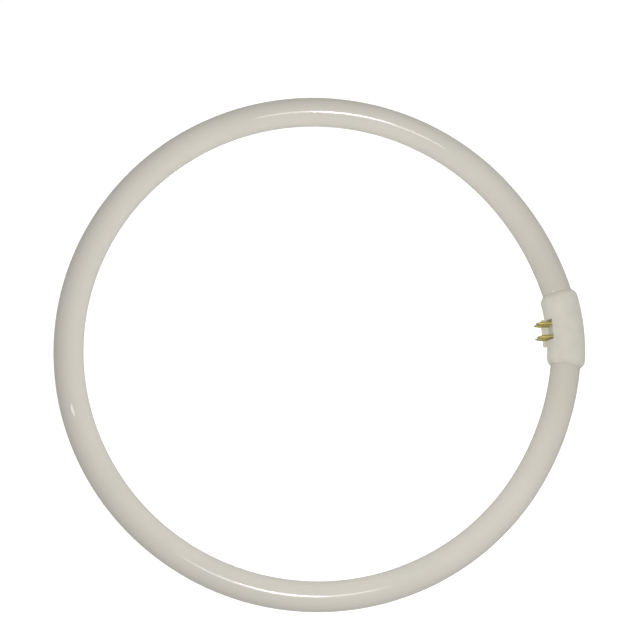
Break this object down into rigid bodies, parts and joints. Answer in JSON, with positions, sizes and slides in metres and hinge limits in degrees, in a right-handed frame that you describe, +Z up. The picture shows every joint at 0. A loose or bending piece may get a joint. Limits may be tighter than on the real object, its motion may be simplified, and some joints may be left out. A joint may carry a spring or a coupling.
{
  "type": "circular fluorescent tube",
  "caption": "Slim ring-shaped fluorescent lamp: white coated glass tube bent to a circle, closed by a short curved plastic base with brass contact pins pointing inwards.",
  "frame": {"origin": "centre of the ring, on the plane through the tube's centre line", "axes": "+Z up and square to the ring, +X from the ring's centre to the base, so that the pins point along -X"},
  "size_m": [0.3049, 0.3, 0.0218],
  "materials": {
    "coated_glass": "glossy clear glass over a matte white coating, opaque",
    "base_plastic": "satin moulded",
    "pin_brass": "turned",
    "lead_wire": "nickel-plated wire"
  },
  "bodies": {
    "root": {"glass_tube": "coated_glass", "base_upper_shell": "base_plastic", "base_lower_shell": "base_plastic", "contact_pin_1": "pin_brass", "contact_pin_2": "pin_brass", "contact_pin_3": "pin_brass", "contact_pin_4": "pin_brass", "lead_wire_1": "lead_wire", "lead_wire_2": "lead_wire", "lead_wire_3": "lead_wire", "lead_wire_4": "lead_wire"}
  },
  "joints": []
}
